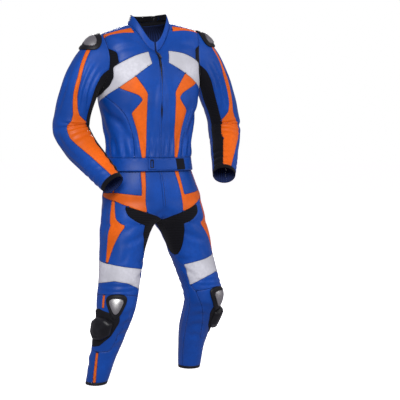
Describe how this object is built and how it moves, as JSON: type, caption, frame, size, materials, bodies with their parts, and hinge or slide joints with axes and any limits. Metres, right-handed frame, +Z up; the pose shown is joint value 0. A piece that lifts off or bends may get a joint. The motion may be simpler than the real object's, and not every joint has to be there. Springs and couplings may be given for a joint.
{
  "type": "racing suit",
  "caption": "Two-piece leather motorcycle racing suit in its worn shape, hollow and open at neck, cuffs and hems, with armour cups, knee sliders and a back hump.",
  "frame": {"origin": "between the shoulders at the base of the neck, where the wearer carries the suit", "axes": "+Z up, the front faces -Y, +X is the wearer's left"},
  "size_m": [0.8141, 0.3601, 1.4768],
  "materials": {
    "blue_leather": "satin grain leather",
    "orange_leather": "satin grain leather",
    "white_leather": "satin grain leather",
    "white_hump": "gloss",
    "stretch_fabric": "matt ribbed",
    "black_leather": "satin grain leather",
    "zip_tape": "matt woven",
    "armour_black": "matt with a brushed plate",
    "slider_plastic": "matt",
    "zip_metal": "satin"
  },
  "bodies": {
    "root": {"back_band_left": "white_leather", "back_band_right": "white_leather", "back_elastic": "stretch_fabric", "back_hump": "white_hump", "back_insert_left": "orange_leather", "back_insert_right": "orange_leather", "belt_loop": "black_leather", "belt_strap": "blue_leather", "calf_stretch_left": "stretch_fabric", "calf_stretch_right": "stretch_fabric", "chest_band_left": "white_leather", "chest_band_right": "white_leather", "chest_insert_left": "orange_leather", "chest_insert_right": "orange_leather", "collar": "blue_leather", "crotch_gusset": "stretch_fabric", "cuff_left": "black_leather", "cuff_right": "black_leather", "elbow_cup_left": "armour_black", "elbow_cup_right": "armour_black", "elbow_patch_left": "white_leather", "elbow_patch_right": "white_leather", "fly_panel": "blue_leather", "fly_zip": "zip_tape", "front_zip": "zip_tape", "hip_insert_left": "orange_leather", "hip_insert_right": "orange_leather", "jacket_back": "blue_leather", "jacket_front_left": "blue_leather", "jacket_front_right": "blue_leather", "jacket_side_left": "blue_leather", "jacket_side_right": "blue_leather", "jacket_yoke_left": "blue_leather", "jacket_yoke_right": "blue_leather", "knee_band_left": "white_leather", "knee_band_right": "white_leather", "knee_cup_left": "armour_black", "knee_cup_right": "armour_black", "knee_slider_left": "slider_plastic", "knee_slider_right": "slider_plastic", "lumbar_band": "white_leather", "seat_insert": "orange_leather", "seat_panel": "blue_leather", "shoulder_cup_left": "armour_black", "shoulder_cup_right": "armour_black", "shoulder_stripe_left": "orange_leather", "shoulder_stripe_right": "orange_leather", "sleeve_insert_left": "orange_leather", "sleeve_insert_right": "orange_leather", "sleeve_left": "blue_leather", "sleeve_right": "blue_leather", "sleeve_stretch_left": "stretch_fabric", "sleeve_stretch_right": "stretch_fabric", "thigh_insert_left": "orange_leather", "thigh_insert_right": "orange_leather", "trousers_left": "blue_leather", "trousers_right": "blue_leather", "waistband": "blue_leather", "zip_slider": "zip_metal"},
    "pull": {"zip_pull": "zip_metal"}
  },
  "joints": [
    {"name": "zip_pull_hinge", "type": "hinge", "parent": "root", "child": "pull", "pos_m": [0, -0.09886, -0.09361], "axis": [1, 0, 0], "range_deg": [-130, 0]}
  ]
}
